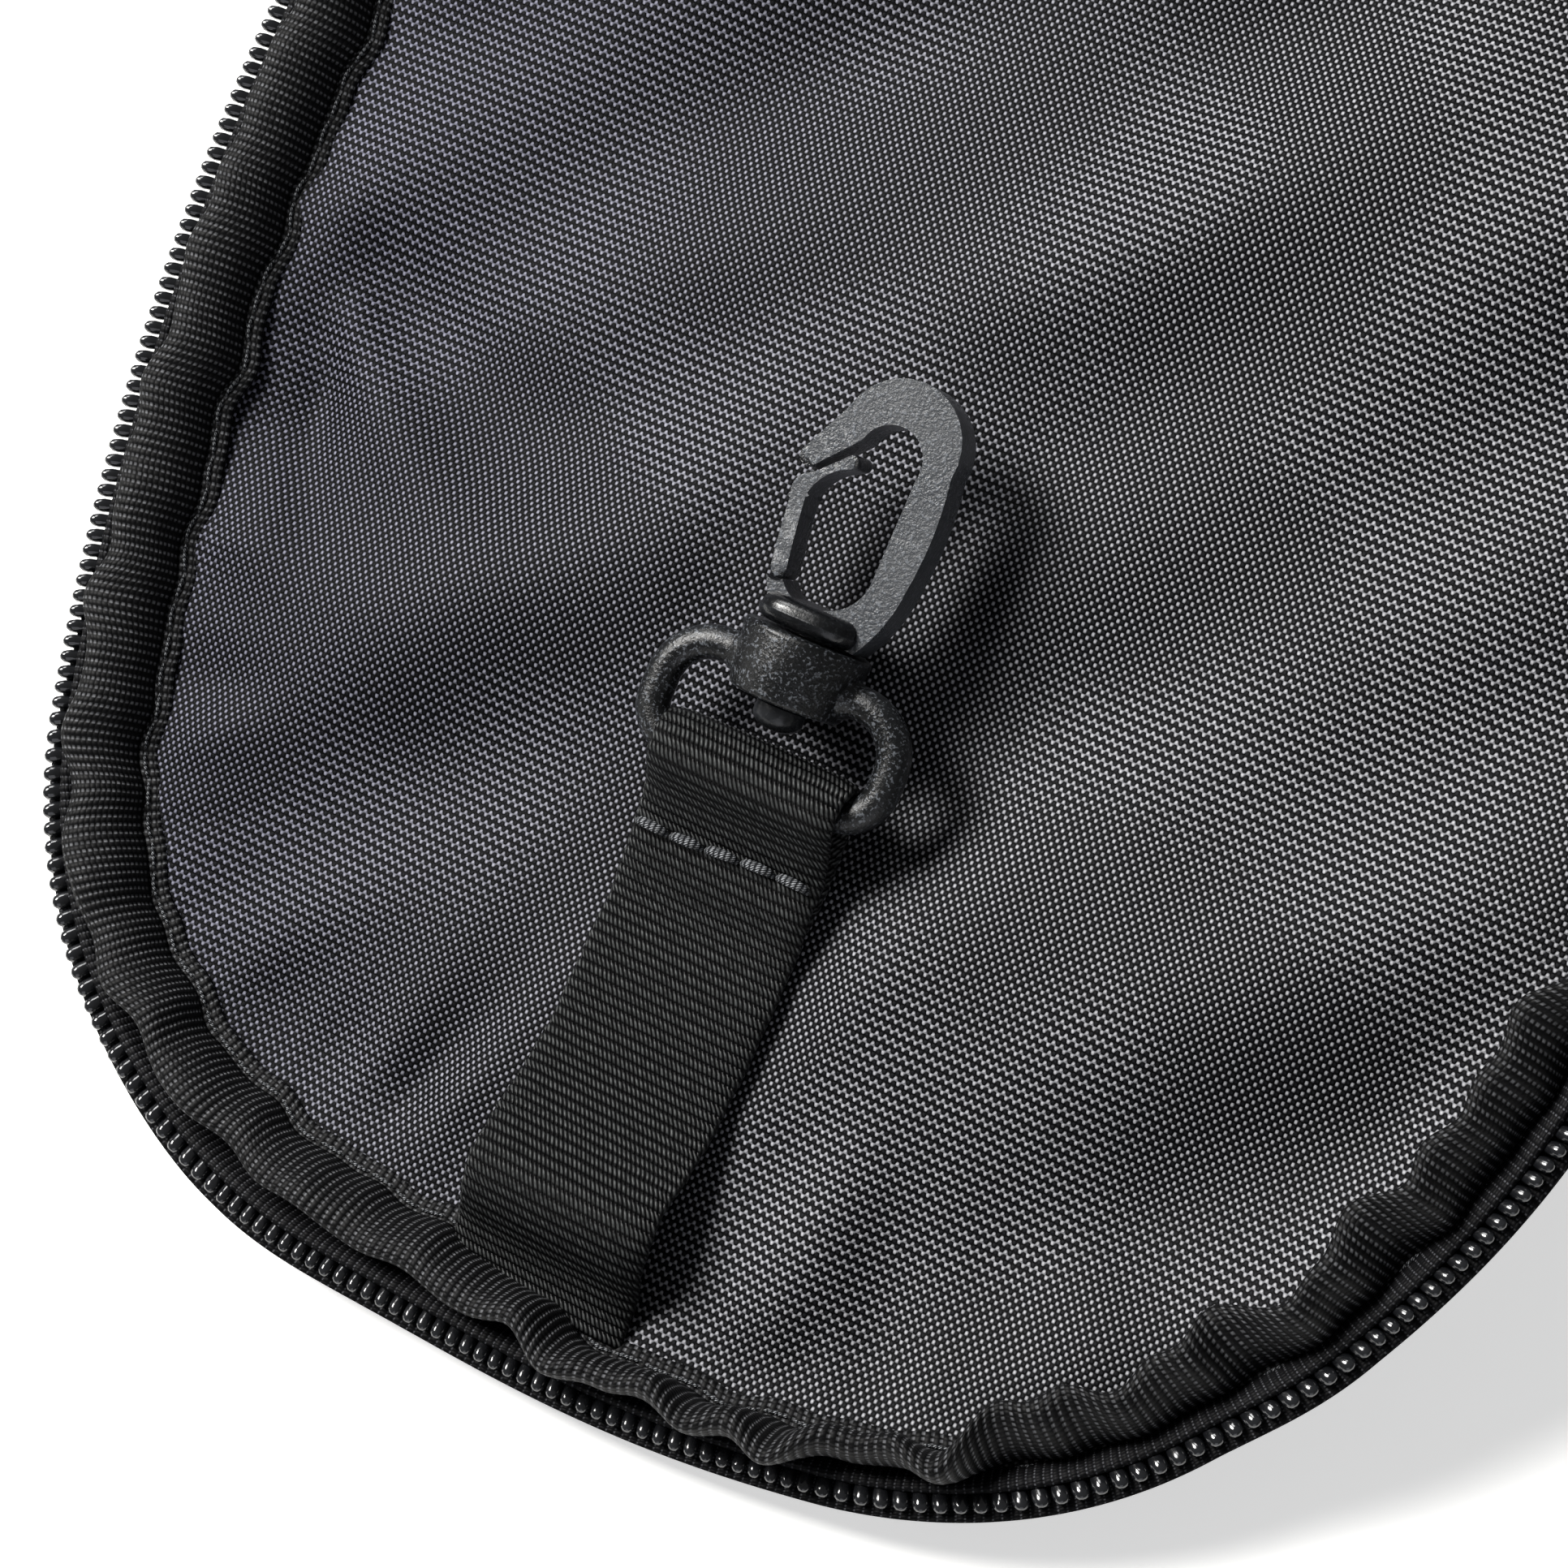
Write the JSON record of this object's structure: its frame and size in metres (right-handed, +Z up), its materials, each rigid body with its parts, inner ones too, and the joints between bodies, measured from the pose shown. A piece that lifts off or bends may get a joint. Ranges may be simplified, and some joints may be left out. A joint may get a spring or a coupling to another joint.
{
  "type": "hanging toiletry bag",
  "caption": "Soft hanging toiletry bag with a padded tub, a zip-around lid that folds open, and a swivel snap hook on a webbing strap.",
  "frame": {"origin": "centre of the tub's underside, on the ground", "axes": "+Z up, +Y from the hinge towards the tub's rounded end, +X to the right seen from the lid's free end"},
  "size_m": [0.1768, 0.437, 0.0802],
  "materials": {
    "shell_nylon": "close plain-weave nylon, matt",
    "lining_nylon": "plain-weave nylon with a soft sheen",
    "foam": "closed-cell foam, hidden",
    "stiffener": "polyethylene board, hidden",
    "grosgrain": "ribbed grosgrain tape",
    "piping": "corded piping",
    "zip_tape": "ribbed woven zip tape",
    "zip_coil": "polyester coil, glossy",
    "mesh": "open knitted mesh",
    "elastic": "ribbed elastic band",
    "webbing": "ribbed nylon webbing",
    "acetal": "moulded acetal with a fine grain",
    "pin": "moulded acetal, smooth",
    "slider_metal": "die-cast zinc, black lacquer"
  },
  "bodies": {
    "tub": {"back_panel": "shell_nylon", "back_board": "stiffener", "back_piping": "piping", "gusset_shell": "shell_nylon", "hinge_wall": "shell_nylon", "wall_pad": "foam", "tub_lining": "lining_nylon", "tub_binding": "grosgrain", "hinge_wall_binding": "grosgrain", "tub_zip_tape": "zip_tape", "tub_zip_coil": "zip_coil", "zip_stops": "zip_coil", "mesh_pocket": "mesh", "pocket_elastic": "elastic", "carry_handle": "webbing", "hinge_bead": "shell_nylon"},
    "lid": {"lid_shell": "shell_nylon", "lid_foam": "foam", "lid_lining": "lining_nylon", "lid_binding": "grosgrain", "lid_hinge_binding": "grosgrain", "lid_zip_tape": "zip_tape", "lid_zip_coil": "zip_coil", "lid_hinge_web": "shell_nylon", "strap_root": "webbing"},
    "strap": {"hook_strap": "webbing"},
    "ring": {"swivel_ring": "acetal"},
    "hook": {"snap_hook": "acetal", "swivel_pin": "pin"},
    "gate": {"hook_gate": "acetal"},
    "slider_right": {"slider_right": "slider_metal"},
    "slider_left": {"slider_left": "slider_metal"},
    "pull_right": {"pull_right": "slider_metal"},
    "pull_left": {"pull_left": "slider_metal"}
  },
  "joints": [
    {"name": "lid_fold", "type": "hinge", "parent": "tub", "child": "lid", "pos_m": [0, -0.1075, 0.0762], "axis": [1, 0, 0], "range_deg": [-197.63, 0]},
    {"name": "strap_lift", "type": "hinge", "parent": "lid", "child": "strap", "pos_m": [0, -0.30554, 0.0126], "axis": [1, 0, 0], "range_deg": [0, 160]},
    {"name": "ring_tilt", "type": "hinge", "parent": "strap", "child": "ring", "pos_m": [0, -0.26329, 0.02477], "axis": [1, 0, 0], "range_deg": [0, 110]},
    {"name": "hook_swivel", "type": "hinge", "parent": "ring", "child": "hook", "pos_m": [0, -0.26329, 0.02477], "axis": [0, 0.909, 0.4167], "continuous": true},
    {"name": "gate_flex", "type": "hinge", "parent": "hook", "child": "gate", "pos_m": [-0.0048, -0.24602, 0.03269], "axis": [0, 0.4167, -0.909], "range_deg": [0, 18], "stiffness_Nm_per_rad": 0.02},
    {"name": "slider_right_travel", "type": "slide", "parent": "tub", "child": "slider_right", "axis": [0, 1, 0], "range_m": [0, 0.084]},
    {"name": "slider_left_travel", "type": "slide", "parent": "tub", "child": "slider_left", "axis": [0, 1, 0], "range_m": [0, 0.084]},
    {"name": "pull_right_swing", "type": "hinge", "parent": "slider_right", "child": "pull_right", "pos_m": [0.08491, -0.0895, 0.0762], "axis": [0, -1, 0], "range_deg": [0, 170]},
    {"name": "pull_left_swing", "type": "hinge", "parent": "slider_left", "child": "pull_left", "pos_m": [-0.08491, -0.0895, 0.0762], "axis": [0, 1, 0], "range_deg": [0, 170]}
  ]
}
